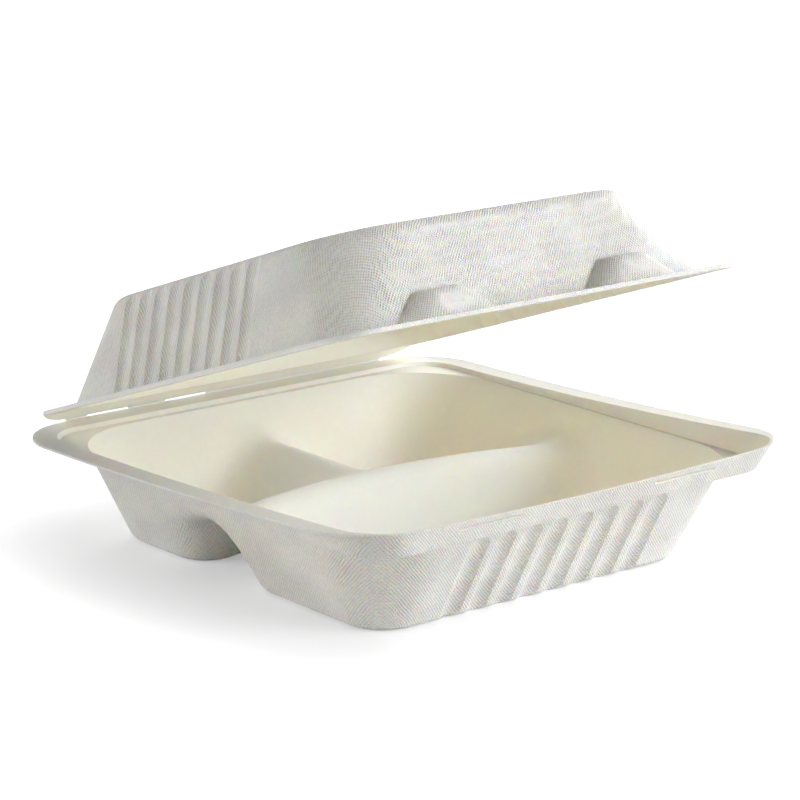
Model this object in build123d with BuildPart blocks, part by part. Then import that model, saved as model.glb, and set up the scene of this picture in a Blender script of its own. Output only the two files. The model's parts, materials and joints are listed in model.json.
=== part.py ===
from build123d import *
import os
from math import cos, hypot, radians, sin, tan

# Moulded fibre clamshell: a tray with three compartments, and its lid on a slitted fold.
# X runs from the fold at the back to the front rim, Y along the fold, Z up from the table.
# The origin is on the table under the middle of the tray. All lengths are in millimetres.

# Pressed sheet
wall = 0.9
cut_overrun = 5.0
pick_margin = 0.05

# Tray from above: depths count forward from the fold, gaps count in from the outer edge
tray_depth = 232.0
tray_width = 230.0
tray_corner = 28.0

# Tray rim: it rises along the sides, and its front edge dips in the middle
rim_height = 42.6
rim_rise = 8.9
rim_dip = 3.0

# Rim pocket: the slanted band between the rim and the ledge
pocket_back = 11.0
pocket_front_gap = 5.4
pocket_side_gap = 10.8
pocket_corner = 18.0
pocket_height = 16.0
pocket_front_draft = 24.0
pocket_side_draft = 20.0
pocket_back_draft = 25.0

# Ledge inside the rim, where the basin starts
ledge_drop = 1.8
ledge_back = 3.0
ledge_front = 4.2
ledge_side = 1.6
basin_corner = 40.0

# Floor of the basin
floor_back = 32.5
floor_front_gap = 31.5
floor_side_gap = 34.0
floor_corner = 16.0
floor_round = 5.0

# Dividers: a main one bowed towards the back, and a stem from it to the back wall
cup_corner = 17.0
divider_depth = 96.0
divider_bow = 250.0
divider_height = 26.9
divider_round = 9.0
divider_draft = 20.0
stem_height = 25.6
stem_round = 8.0
stem_draft = 20.0

# Flutes in the tray's front wall
flute_count = 8
flute_pitch = 13.3
flute_radius = 7.0
flute_cut = 2.2
flute_top_gap = 3.5

# Latch slits in the front band
slit_offset = 51.0
slit_length = 33.0
slit_height = 1.1
slit_drop = 1.6

# Fold line between tray and lid, cut through by two slits on one half
fold_lift = 0.6
fold_gap = 0.25
fold_slit_count = 2
fold_slit_pitch = 40.7
fold_slit_middle = -43.5
fold_slit_length = 21.5
fold_slit_cut = 0.6

# Lid flange: it lies inside the rim pocket, a step above the fold, with a lip along its edge
lid_front_clearance = 1.5
lid_side_clearance = 1.2
lid_corner = 16.0
lid_angle = 19.4
flange_lift = 2.8
flange_slope = 6.0
lip_height = 0.9
lip_width = 1.2

# Lid dome, inside faces: gaps count in from the flange's outer edge
lid_height = 40.9
dome_back = 11.0
dome_front_gap = 12.0
dome_side_gap = 8.0
dome_corner = 20.0
dome_top_back = 24.5
dome_top_front_gap = 23.5
dome_top_side_gap = 25.0
dome_top_corner = 33.0
dome_round = 7.0

# Flutes in the lid's side walls
lid_flute_count = 9
lid_flute_pitch = 10.9
lid_flute_middle = 103.0
lid_flute_radius = 6.0
lid_flute_cut = 1.8

# Latch bumps on the lid's front wall
bump_offset = 47.0
bump_half = 26.0
bump_top_half = 11.0
bump_corner = 14.0
bump_top_corner = 9.0
bump_back_gap = 30.0
bump_front_gap = 1.7
bump_top_front_gap = 8.5
bump_height = 13.0
bump_round = 5.0

# Worked out from the sizes above
half_depth = tray_depth / 2
half_width = tray_width / 2
ledge_height = rim_height - ledge_drop
pocket_front = tray_depth - pocket_front_gap
pocket_half = half_width - pocket_side_gap
basin_back = pocket_back + ledge_back
basin_front = pocket_front - ledge_front
basin_half = pocket_half - ledge_side
floor_front = tray_depth - floor_front_gap
floor_half = half_width - floor_side_gap
rim_sweep_radius = (tray_depth**2 + rim_rise**2) / (2 * rim_rise)
dip_sweep_radius = (half_width**2 + rim_dip**2) / (2 * rim_dip)
front_edge_height = rim_height + rim_rise - rim_dip
fold_height = rim_height + fold_lift
flange_base = fold_gap + flange_lift
flange_top = flange_base + wall
lid_depth = pocket_front - lid_front_clearance
lid_half = pocket_half - lid_side_clearance
dome_front = lid_depth - dome_front_gap
dome_half = lid_half - dome_side_gap
dome_top_front = lid_depth - dome_top_front_gap
dome_top_half = lid_half - dome_top_side_gap


def from_fold(depth):
    """X of a point that lies a given depth in front of the tray's back edge."""
    return depth - half_depth


def outline(back, front, half, corner, mode=Mode.ADD):
    """Rounded rectangle between two depths, on the sketch plane in use."""
    with Locations(((back + front) / 2, 0)):
        RectangleRounded(front - back, 2 * half, corner, mode=mode)


def wedge(plane, middle, height, crest_round, draft):
    """Profile of a divider: two drafted flanks and a rounded crest."""
    apex = height + crest_round * (1 / sin(radians(draft)) - 1)
    foot = -cut_overrun
    half_foot = (apex - foot) * tan(radians(draft))
    with BuildSketch(plane) as profile:
        Polygon((middle - half_foot, foot), (middle + half_foot, foot), (middle, apex), align=None)
        fillet(profile.vertices().sort_by(Axis.Y)[-1], crest_round)
    return profile.sketch


def rod(radius, length):
    """Cutter for a flute: a rod that hangs below the origin, with a round top end."""
    with BuildPart() as cutter:
        Cylinder(radius, length, align=(Align.CENTER, Align.CENTER, Align.MAX))
        Sphere(radius)
    return cutter.part


def row(count, pitch):
    """Places of a row of like features, centred on zero."""
    return [(index - (count - 1) / 2) * pitch for index in range(count)]


def rises_below_ledge(edge):
    """True for the edges where the dividers meet the walls and each other."""
    box = edge.bounding_box()
    return box.size.Z > pick_margin and box.max.Z < ledge_height - pick_margin


def tray_form(skin):
    """Hollow of the tray grown by a skin: zero gives its inside, one wall its outside."""
    floor = wall - skin
    with BuildPart() as form:
        # Basin: drafted walls whose corners tighten towards the floor
        with BuildSketch(Plane.XY.offset(floor)):
            outline(from_fold(floor_back) - skin, from_fold(floor_front) + skin,
                    floor_half + skin, floor_corner + skin)
        with BuildSketch(Plane.XY.offset(ledge_height)):
            outline(from_fold(basin_back) - skin, from_fold(basin_front) + skin,
                    basin_half + skin, basin_corner + skin)
        loft(ruled=True)

        # Dividers, pressed up from below
        divider_x = from_fold(divider_depth)
        bow_middle = divider_x + divider_bow
        divider = wedge(Plane.XZ, bow_middle + divider_bow, divider_height - skin,
                        divider_round - skin, divider_draft)
        revolve(divider, axis=Axis((bow_middle, 0, 0), (0, 0, 1)), mode=Mode.SUBTRACT)
        stem = wedge(Plane.YZ.offset(divider_x), 0, stem_height - skin, stem_round - skin, stem_draft)
        extrude(stem, amount=-tray_depth, mode=Mode.SUBTRACT)

        # Rounded compartment corners, then rounded floor edges
        fillet(form.edges().filter_by(rises_below_ledge), cup_corner + skin)
        fillet(form.faces().filter_by(Axis.Z).group_by(Axis.Z)[0].edges(), floor_round + skin)

        # Flutes up the front wall
        run = basin_front - floor_front
        rise = ledge_height - floor
        slope = Vector(run, 0, rise).normalized()
        outward = Vector(rise, 0, -run).normalized()
        half_chord = (flute_radius**2 - (flute_radius - flute_cut) ** 2) ** 0.5
        reach = hypot(run, rise)
        top = Vector(from_fold(floor_front) + wall, 0, floor) + slope * (reach - flute_top_gap - half_chord)
        axis_top = top + outward * (flute_radius - flute_cut)
        cutter = rod(flute_radius + wall - skin, reach)
        for y in row(flute_count, flute_pitch):
            with Locations(Plane(origin=axis_top + Vector(0, y, 0), x_dir=(0, 1, 0), z_dir=slope)):
                add(cutter, mode=Mode.SUBTRACT)

        # Rim pocket above the ledge
        spread_front = pocket_height * tan(radians(pocket_front_draft))
        spread_side = pocket_height * tan(radians(pocket_side_draft))
        spread_back = pocket_height * tan(radians(pocket_back_draft))
        with BuildSketch(Plane.XY.offset(ledge_height - skin)):
            outline(from_fold(pocket_back) - skin, from_fold(pocket_front) + skin,
                    pocket_half + skin, pocket_corner + skin)
        with BuildSketch(Plane.XY.offset(ledge_height - skin + pocket_height)):
            outline(from_fold(pocket_back) - skin - spread_back,
                    from_fold(pocket_front) + skin + spread_front,
                    pocket_half + skin + spread_side, pocket_corner + skin)
        loft(ruled=True)
    return form.part


def rim_sweep(skin):
    """Wide roller above the tray, whose underside is the rim's rising top face."""
    with BuildPart() as roller:
        with Locations((-half_depth, 0, rim_height + rim_sweep_radius)):
            Cylinder(rim_sweep_radius + skin, tray_width + 2 * cut_overrun, rotation=(90, 0, 0))
    return roller.part


def bump(skin):
    """Latch bump: a low mound that leans against the front wall and has a rounded top."""
    back = lid_depth - bump_back_gap - skin
    with BuildPart() as form:
        with BuildSketch(Plane.XY.offset(flange_base)):
            outline(back, lid_depth - bump_front_gap + skin, bump_half + skin, bump_corner + skin)
        with BuildSketch(Plane.XY.offset(flange_base + bump_height - wall + skin)):
            outline(back, lid_depth - bump_top_front_gap + skin, bump_top_half + skin, bump_top_corner + skin)
        loft(ruled=True)
        fillet(form.faces().sort_by(Axis.Z)[-1].edges(), bump_round + skin)
    return form.part


def lid_form(skin):
    """Hollow of the lid grown by a skin, drawn flat with the fold along Y at the origin."""
    top = flange_base + lid_height - wall + skin
    with BuildPart() as form:
        # Dome: drafted walls whose corners widen towards the top
        with BuildSketch(Plane.XY.offset(flange_base)):
            outline(dome_back - skin, dome_front + skin, dome_half + skin, dome_corner + skin)
        with BuildSketch(Plane.XY.offset(top)):
            outline(dome_top_back - skin, dome_top_front + skin, dome_top_half + skin, dome_top_corner + skin)
        loft(ruled=True)
        fillet(form.faces().sort_by(Axis.Z)[-1].edges(), dome_round + skin)

        # Flutes up both side walls, which run out in the rounded top edge
        run = dome_half - dome_top_half
        rise = top - flange_base
        for side in (-1, 1):
            slope = Vector(0, -side * run, rise).normalized()
            outward = Vector(0, side * rise, run).normalized()
            foot = Vector(lid_flute_middle, side * (dome_half + wall), flange_base)
            axis_foot = foot + outward * (lid_flute_radius - lid_flute_cut)
            for x in row(lid_flute_count, lid_flute_pitch):
                with Locations(Plane(origin=axis_foot + Vector(x, 0, 0), x_dir=(1, 0, 0), z_dir=slope)):
                    Cylinder(lid_flute_radius + wall - skin, 3 * lid_height, mode=Mode.SUBTRACT)

        # Latch bumps
        with Locations(*[(0, side * bump_offset, 0) for side in (-1, 1)]):
            add(bump(skin))
    return form.part


os.makedirs("parts", exist_ok=True)

fold_slits = [fold_slit_middle + y for y in row(fold_slit_count, fold_slit_pitch)]

tray_outside = tray_form(wall)
tray_inside = tray_form(0)
rim_underside = rim_sweep(wall)
rim_top = rim_sweep(0)

with BuildPart() as tray:
    # Flange that follows the rising rim
    with BuildSketch():
        outline(-half_depth, half_depth, half_width, tray_corner)
    extrude(amount=rim_height + rim_rise + wall)
    add(rim_underside, mode=Mode.INTERSECT)

    # Outside of the tray, trimmed to the rim, then hollowed
    add(tray_outside)
    add(rim_top, mode=Mode.SUBTRACT)
    add(tray_inside, mode=Mode.SUBTRACT)

    # Dipped front edge
    with Locations((0, 0, front_edge_height + dip_sweep_radius)):
        Cylinder(dip_sweep_radius, tray_depth + 2 * cut_overrun, rotation=(0, 90, 0), mode=Mode.SUBTRACT)

    # Latch slits in the front band
    with Locations(*[(half_depth, side * slit_offset, front_edge_height - slit_drop) for side in (-1, 1)]):
        Box(2 * pocket_front_gap, slit_length, slit_height,
            align=(Align.CENTER, Align.CENTER, Align.MAX), mode=Mode.SUBTRACT)

    # Slits along the fold
    with Locations(*[(-half_depth, y, rim_height) for y in fold_slits]):
        Box(2 * fold_slit_cut, fold_slit_length, 2 * cut_overrun, mode=Mode.SUBTRACT)

tray.part.label = "tray"
export_step(tray.part, "parts/tray.step")

lid_outside = lid_form(wall)
lid_inside = lid_form(0)
lid_tilt = radians(lid_angle)
lid_plane = Plane(
    origin=(-half_depth - fold_gap, 0, fold_height),
    x_dir=(cos(lid_tilt), 0, sin(lid_tilt)),
    z_dir=(-sin(lid_tilt), 0, cos(lid_tilt)),
)

with BuildPart() as flat_lid:
    # Flange: a sheet that climbs from the fold to its own level
    with BuildSketch(Plane.XZ):
        Polygon((fold_gap, fold_gap), (flange_slope, flange_base), (lid_depth, flange_base),
                (lid_depth, flange_top), (flange_slope, flange_top), (fold_gap, fold_gap + wall), align=None)
    extrude(amount=lid_half, both=True)
    with BuildSketch():
        outline(fold_gap, lid_depth, lid_half, lid_corner)
    extrude(amount=lid_height, mode=Mode.INTERSECT)

    # Lip along the sides and the front, which runs out at the back corners
    with BuildSketch(Plane.XY.offset(flange_top)):
        outline(fold_gap, lid_depth, lid_half, lid_corner)
        outline(fold_gap - lid_corner, lid_depth - lip_width, lid_half - lip_width, lid_corner - lip_width,
                mode=Mode.SUBTRACT)
    extrude(amount=lip_height)

    # Dome and hollow
    add(lid_outside)
    add(lid_inside, mode=Mode.SUBTRACT)

    # Slits along the fold
    with Locations(*[(fold_gap, y, fold_gap) for y in fold_slits]):
        Box(2 * fold_slit_cut, fold_slit_length, 2 * cut_overrun, mode=Mode.SUBTRACT)

with BuildPart(lid_plane) as lid:
    add(flat_lid.part)

lid.part.label = "lid"
export_step(lid.part, "parts/lid.step")
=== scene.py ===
import json
from math import cos, pi, radians, sin

import bpy
from mathutils import Matrix, Vector


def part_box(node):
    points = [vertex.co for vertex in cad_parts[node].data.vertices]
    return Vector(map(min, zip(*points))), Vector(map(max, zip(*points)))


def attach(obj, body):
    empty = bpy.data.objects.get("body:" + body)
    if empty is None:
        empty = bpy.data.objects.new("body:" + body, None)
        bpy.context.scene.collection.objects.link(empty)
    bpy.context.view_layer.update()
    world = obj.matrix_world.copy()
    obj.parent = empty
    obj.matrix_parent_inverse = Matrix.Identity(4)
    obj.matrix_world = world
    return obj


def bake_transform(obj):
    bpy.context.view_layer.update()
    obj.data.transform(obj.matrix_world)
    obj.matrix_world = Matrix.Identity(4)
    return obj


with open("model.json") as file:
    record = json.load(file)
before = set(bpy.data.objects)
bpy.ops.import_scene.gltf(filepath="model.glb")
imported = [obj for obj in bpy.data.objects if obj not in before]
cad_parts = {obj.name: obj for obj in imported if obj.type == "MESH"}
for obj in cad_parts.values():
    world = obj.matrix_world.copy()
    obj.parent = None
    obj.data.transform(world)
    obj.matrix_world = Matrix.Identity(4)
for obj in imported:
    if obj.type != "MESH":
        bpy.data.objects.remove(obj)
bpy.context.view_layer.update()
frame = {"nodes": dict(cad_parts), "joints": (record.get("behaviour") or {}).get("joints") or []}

# Looks of a moulded fibre clamshell: pressed fibre on both halves, the bent strips of the fold,
# a white studio floor, soft light from both sides and from behind, and the camera.
# Lengths are in metres.

tray = frame["nodes"]["tray"]
lid = frame["nodes"]["lid"]
fold_point = Vector(frame["joints"][0]["pos_m"])

# Lid as modelled: how far it stands open, and its own forward and up directions
lid_angle = radians(19.4)
lid_forward = Vector((cos(lid_angle), 0, sin(lid_angle)))
lid_up = Vector((-sin(lid_angle), 0, cos(lid_angle)))

# Fibre colours: white outside with painted shade in the mesh pits, cream inside with darker clouds
outer_colour = (0.94, 0.945, 0.93, 1)
pit_shade_colour = (0.62, 0.625, 0.605, 1)
inner_colour = (0.98, 0.95, 0.878, 1)
inner_cloud_colour = (0.955, 0.915, 0.82, 1)
pit_shade_share = 0.8
cloud_share = 0.6

# Light goes a little way into the sheet and comes through it warmer
glow_radius = (1.0, 0.74, 0.38)
glow_depth = 0.0011

# Marks of the wire mesh on the outside, and lumps of pulp on both sides
mesh_pitch = 0.0013
mesh_depth = 0.00034
mesh_wander = 0.0016
mesh_wander_scale = 110
mesh_wander_detail = 1
side_sharpness = 4.0
lump_scale = 650
lump_detail = 2
lump_depth = 0.00022
inner_lump_share = 0.1
swell_scale = 60
swell_detail = 1
swell_depth = 0.0003
cloud_scale = 38
cloud_detail = 3
fine_roughness = 0.6
side_blend = 0.06
outer_roughness = 0.92
inner_roughness = 0.72
specular_level = 0.25

# Where a pattern starts and ends: how the swells press the mesh in, what counts as a pit that gets painted
# shade, and what counts as cloud
press_range = (0.3, 0.7)
press_shares = (0.6, 1.0)
pit_shade_range = (0.3, -0.9)
cloud_range = (0.45, 0.72)

# Strips of the fold, between its two slits and on to both ends, with the slits as cut in the part
slit_middle = -0.0435
slit_pitch = 0.0407
slit_length = 0.0215
slit_cut = 0.0006
slit_places = (slit_middle - slit_pitch / 2, slit_middle + slit_pitch / 2)
strip_reach = 0.085
sheet_thickness = 0.0009
fold_gap = 0.00025
fold_lift = 0.0006
strip_thickness = 0.0007
strip_bulge = 0.0008
strip_sink = 0.0003
strip_steps = 10
strip_piece_length = 0.002

# Lips of the slits: shares of the bend where the tray's lip ends and the lid's lip starts
lip_sink = slit_cut + strip_sink
tray_lip_share = 0.27
lid_lip_share = 0.86

# Studio: the floor keeps the lamps' shadow beside the object's square foot, deepened by a painted shadow
# from a camera-only glow that is dimmer near the foot, and shows white further out
floor_size = 12.0
floor_colour = (0.80, 0.80, 0.80, 1)
foot_half = 0.080
painted_shadow_glow = 0.34
far_glow = 1.0
painted_shadow_reach = 0.11
world_level = 0.01
light_distance = 3.2
light_size = 2.0
# Each soft box: name, degrees round from the camera to its right, degrees up, watts
soft_boxes = (
    ("right_box", 70, 15, 86),
    ("high_right_box", 95, 35, 36),
    ("left_box", -76, 11, 70),
    ("back_box", 180, 22, 26),
    ("back_right_box", 150, 12, 64),
)

# Camera, as fitted to the rim, floor and fold lines
camera_target = Vector((0, 0, 0.040))
camera_azimuth = radians(50.29)
camera_elevation = radians(15.62)
camera_roll = radians(0.31)
camera_distance = 1.28746
camera_lens = 141.77
camera_shift = (0.0008, 0.064)


class Shader:
    """Adds nodes to one node tree and links them."""

    def __init__(self, tree):
        self.tree = tree
        self.tree.nodes.clear()

    def put(self, socket, value):
        if isinstance(value, bpy.types.NodeSocket):
            self.tree.links.new(value, socket)
        else:
            socket.default_value = value

    def node(self, kind, inputs=None, **settings):
        made = self.tree.nodes.new(kind)
        for key, value in settings.items():
            setattr(made, key, value)
        for key, value in (inputs or {}).items():
            self.put(made.inputs[key], value)
        return made

    def math(self, operation, first, second=0.0):
        return self.node("ShaderNodeMath", {0: first, 1: second}, operation=operation).outputs[0]

    def vector(self, operation, first, second=(0, 0, 0)):
        made = self.node("ShaderNodeVectorMath", {0: first, 1: second}, operation=operation)
        return made.outputs["Value" if operation in ("DOT_PRODUCT", "LENGTH") else "Vector"]

    def spread(self, value, low, high, new_low=0.0, new_high=1.0):
        """Smooth step from new_low to new_high as the value goes from low to high."""
        ends = {"Value": value, "From Min": low, "From Max": high, "To Min": new_low, "To Max": new_high}
        return self.node("ShaderNodeMapRange", ends, interpolation_type="SMOOTHSTEP").outputs["Result"]

    def noise(self, place, scale, detail, roughness=0.5):
        looks = {"Vector": place, "Scale": scale, "Detail": detail, "Roughness": roughness}
        return self.node("ShaderNodeTexNoise", looks).outputs

    def mix(self, share, first, second):
        made = self.node("ShaderNodeMix", {"Factor": share}, data_type="RGBA")
        colours = [socket for socket in made.inputs if socket.type == "RGBA"]
        self.put(colours[0], first)
        self.put(colours[1], second)
        return [socket for socket in made.outputs if socket.type == "RGBA"][0]

    def camera_sees(self):
        """One for rays that show the background: straight, mirrored or through glass."""
        rays = self.node("ShaderNodeLightPath").outputs
        seen = self.math("MAXIMUM", rays["Is Camera Ray"], rays["Is Glossy Ray"])
        return self.math("MAXIMUM", seen, rays["Is Transmission Ray"])


def new_material(name):
    """Empty node material and the shader that fills it."""
    material = bpy.data.materials.new(name)
    material.use_nodes = True
    return material, Shader(material.node_tree)


def mesh_marks(shader, place, facing):
    """Height from -1 to 1 of a woven wire mesh, laid on the surface from its three main sides."""
    wander = shader.noise(place, mesh_wander_scale, mesh_wander_detail)["Color"]
    wander = shader.vector("SUBTRACT", wander, (0.5, 0.5, 0.5))
    wander = shader.vector("MULTIPLY", wander, (mesh_wander,) * 3)
    place = shader.vector("ADD", place, wander)
    place = shader.vector("MULTIPLY", place, (2 * pi / mesh_pitch,) * 3)
    axes = shader.node("ShaderNodeSeparateXYZ", {0: place}).outputs
    waves = [shader.math("SINE", axis) for axis in axes]
    faces = shader.node("ShaderNodeSeparateXYZ", {0: facing}).outputs
    shares = [shader.math("POWER", shader.math("ABSOLUTE", face), side_sharpness) for face in faces]
    total = shader.math("ADD", shader.math("ADD", shares[0], shares[1]), shares[2])
    height = 0.0
    for index, share in enumerate(shares):
        weave = shader.math("MULTIPLY", waves[index - 1], waves[index - 2])
        height = shader.math("ADD", shader.math("MULTIPLY", weave, share), height)
    return shader.math("DIVIDE", height, total)


def fibre(name, smooth_direction):
    """Pressed fibre: smooth and cream on the side that faces the food, meshed and white on the other."""
    material, shader = new_material(name)
    coordinates = shader.node("ShaderNodeTexCoord").outputs
    place = coordinates["Object"]
    facing = coordinates["Normal"]
    lean = shader.vector("DOT_PRODUCT", facing, tuple(smooth_direction))
    smooth = shader.spread(lean, -side_blend, side_blend)
    rough = shader.math("SUBTRACT", 1.0, smooth)

    marks = mesh_marks(shader, place, facing)
    lumps = shader.noise(place, lump_scale, lump_detail, fine_roughness)["Fac"]
    swells = shader.noise(place, swell_scale, swell_detail)["Fac"]
    clouds = shader.noise(place, cloud_scale, cloud_detail, fine_roughness)["Fac"]

    # Relief: the mesh pressed in unevenly, then lumps and slow swells
    press = shader.spread(swells, *press_range, *press_shares)
    mark_height = shader.math("MULTIPLY", shader.math("MULTIPLY", marks, press), rough)
    lump_share = shader.spread(smooth, 0.0, 1.0, 1.0, inner_lump_share)
    lump_height = shader.math("MULTIPLY", lumps, lump_share)
    height = shader.math("MULTIPLY", mark_height, mesh_depth)
    height = shader.math("ADD", height, shader.math("MULTIPLY", lump_height, lump_depth))
    height = shader.math("ADD", height, shader.math("MULTIPLY", swells, swell_depth))

    # Colour of both sides: painted shade darkens the mesh pits and the hollows between lumps outside,
    # clouds vary the cream inside
    hollows = shader.math("ADD", mark_height, shader.math("SUBTRACT", lumps, 0.5))
    pit_shade = shader.math("MULTIPLY", shader.spread(hollows, *pit_shade_range), pit_shade_share)
    outer = shader.mix(pit_shade, outer_colour, pit_shade_colour)
    cloud = shader.math("MULTIPLY", shader.spread(clouds, *cloud_range), cloud_share)
    inner = shader.mix(cloud, inner_colour, inner_cloud_colour)

    bump = shader.node("ShaderNodeBump", {"Height": height, "Distance": 1.0, "Strength": 1.0})
    surface = shader.node("ShaderNodeBsdfPrincipled", {
        "Base Color": shader.mix(smooth, outer, inner),
        "Roughness": shader.spread(smooth, 0.0, 1.0, outer_roughness, inner_roughness),
        "Specular IOR Level": specular_level,
        "Subsurface Weight": 1.0,
        "Subsurface Radius": glow_radius,
        "Subsurface Scale": glow_depth,
        "Normal": bump.outputs["Normal"],
    })
    shader.node("ShaderNodeOutputMaterial", {"Surface": surface.outputs["BSDF"]})
    return material


def dress(piece, material):
    """Gives a piece one material all over."""
    piece.data.materials.clear()
    piece.data.materials.append(material)


def fold_section(sink, first=0.0, last=1.0):
    """Middle line of the bent sheet, or a part of it, from inside the tray's edge to inside the lid's."""
    middle = sheet_thickness / 2
    foot = Vector((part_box("tray")[0].x + sink, 0, fold_point.z - fold_lift - middle))
    head = fold_point + lid_forward * (fold_gap + sink) + lid_up * (fold_gap + middle)
    crown = (foot + head) / 2 - Vector((2 * strip_bulge + sink, 0, 0))
    line = []
    for step in range(strip_steps + 1):
        share = first + (last - first) * step / strip_steps
        line.append(foot * (1 - share) ** 2 + crown * 2 * share * (1 - share) + head * share**2)
    return line


def sheet_strip(name, line, start, end):
    """Strip of the sheet whose middle follows the line, along one stretch of the fold."""
    inner, outer = [], []
    for index, point in enumerate(line):
        along = line[min(index + 1, strip_steps)] - line[max(index - 1, 0)]
        across = Vector((along.z, 0, -along.x)).normalized() * strip_thickness / 2
        inner.append(point - across)
        outer.append(point + across)
    ring = inner + outer[::-1]
    count = len(ring)
    steps = round((end - start) / strip_piece_length)
    corners = []
    for step in range(steps + 1):
        y = start + (end - start) * step / steps
        corners += [(point.x, y, point.z) for point in ring]
    faces = [tuple(range(count))[::-1], tuple(range(steps * count, (steps + 1) * count))]
    for step in range(steps):
        for index in range(count):
            low = step * count + index
            following = step * count + (index + 1) % count
            faces.append((low, following, following + count, low + count))
    mesh = bpy.data.meshes.new(name)
    mesh.from_pydata(corners, [], faces)
    mesh.update()
    for polygon in mesh.polygons:
        polygon.use_smooth = len(polygon.vertices) == 4
    strip = bpy.data.objects.new(name, mesh)
    bpy.context.scene.collection.objects.link(strip)
    dress(strip, fold_fibre)
    return strip


def around_camera(azimuth, elevation):
    """Direction from the object, counted round from the camera's side to its right and up."""
    turn = camera_azimuth + azimuth
    return Vector((sin(turn) * cos(elevation), -cos(turn) * cos(elevation), sin(elevation)))


def soft_box(name, azimuth, elevation, power):
    """Square soft light that looks at the middle of the object."""
    back = around_camera(radians(azimuth), radians(elevation))
    lamp = bpy.data.lights.new(name, "AREA")
    lamp.shape = "SQUARE"
    lamp.size = light_size
    lamp.energy = power
    holder = bpy.data.objects.new(name, lamp)
    holder.location = camera_target + back * light_distance
    holder.rotation_mode = "QUATERNION"
    holder.rotation_quaternion = (-back).to_track_quat("-Z", "Y")
    bpy.context.scene.collection.objects.link(holder)


# Fibre on both halves and on the fold
tray_fibre = fibre("fibre_tray", (0, 0, 1))
lid_fibre = fibre("fibre_lid", -lid_up)
fold_fibre = fibre("fibre_fold", (1, 0, 0))
dress(tray, tray_fibre)
dress(lid, lid_fibre)

# Strips of the fold
slit_starts = [y - slit_length / 2 for y in slit_places]
slit_ends = [y + slit_length / 2 for y in slit_places]
bend = fold_section(strip_sink)
for number, (start, end) in enumerate(zip([-strip_reach] + slit_ends, slit_starts + [strip_reach]), 1):
    strip = sheet_strip(f"fold_strip_{number}", bend, start, end)
    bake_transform(strip)

# Lips of the slits, where the sheet stops short
for number, (start, end) in enumerate(zip(slit_starts, slit_ends), 1):
    tray_lip = sheet_strip(f"tray_lip_{number}", fold_section(lip_sink, 0.0, tray_lip_share), start, end)
    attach(tray_lip, "tray")
    lid_lip = sheet_strip(f"lid_lip_{number}", fold_section(lip_sink, lid_lip_share, 1.0), start, end)
    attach(lid_lip, "lid")

# Floor
bpy.ops.mesh.primitive_plane_add(size=floor_size)
floor = bpy.context.object
floor.name = "floor"
floor_material, shader = new_material("floor")
floor_place = shader.node("ShaderNodeTexCoord").outputs["Object"]
# Painted shadow: the glow the camera sees is dimmest at the foot and ramps up to white within the reach
beside = shader.vector("SUBTRACT", shader.vector("ABSOLUTE", floor_place), (foot_half, foot_half, 0))
beside = shader.vector("MAXIMUM", beside, (0, 0, 0))
glow_with_painted_shadow = shader.spread(shader.vector("LENGTH", beside), 0.0, painted_shadow_reach, painted_shadow_glow, far_glow)
shine = shader.node("ShaderNodeEmission", {"Strength": shader.math("MULTIPLY", shader.camera_sees(), glow_with_painted_shadow)})
matt = shader.node("ShaderNodeBsdfDiffuse", {"Color": floor_colour})
both = shader.node("ShaderNodeAddShader", {0: shine.outputs[0], 1: matt.outputs[0]})
shader.node("ShaderNodeOutputMaterial", {"Surface": both.outputs[0]})
dress(floor, floor_material)

# World: white to the camera, a weak even light on the object
world = bpy.data.worlds.new("studio")
bpy.context.scene.world = world
world.use_nodes = True
shader = Shader(world.node_tree)
level = shader.spread(shader.camera_sees(), 0.0, 1.0, world_level, 1.0)
sky = shader.node("ShaderNodeBackground", {"Color": (1, 1, 1, 1), "Strength": level})
shader.node("ShaderNodeOutputWorld", {"Surface": sky.outputs["Background"]})

# Lights
for name, azimuth, elevation, power in soft_boxes:
    soft_box(name, azimuth, elevation, power)

# Camera
away = around_camera(0, camera_elevation)
lens = bpy.data.cameras.new("camera")
lens.lens = camera_lens
lens.shift_x, lens.shift_y = camera_shift
camera = bpy.data.objects.new("camera", lens)
camera.location = camera_target + away * camera_distance
camera.rotation_mode = "QUATERNION"
look = (-away).to_track_quat("-Z", "Y").to_matrix() @ Matrix.Rotation(camera_roll, 3, "Z")
camera.rotation_quaternion = look.to_quaternion()
bpy.context.scene.collection.objects.link(camera)
bpy.context.scene.camera = camera
bpy.context.scene.view_settings.view_transform = "Standard"
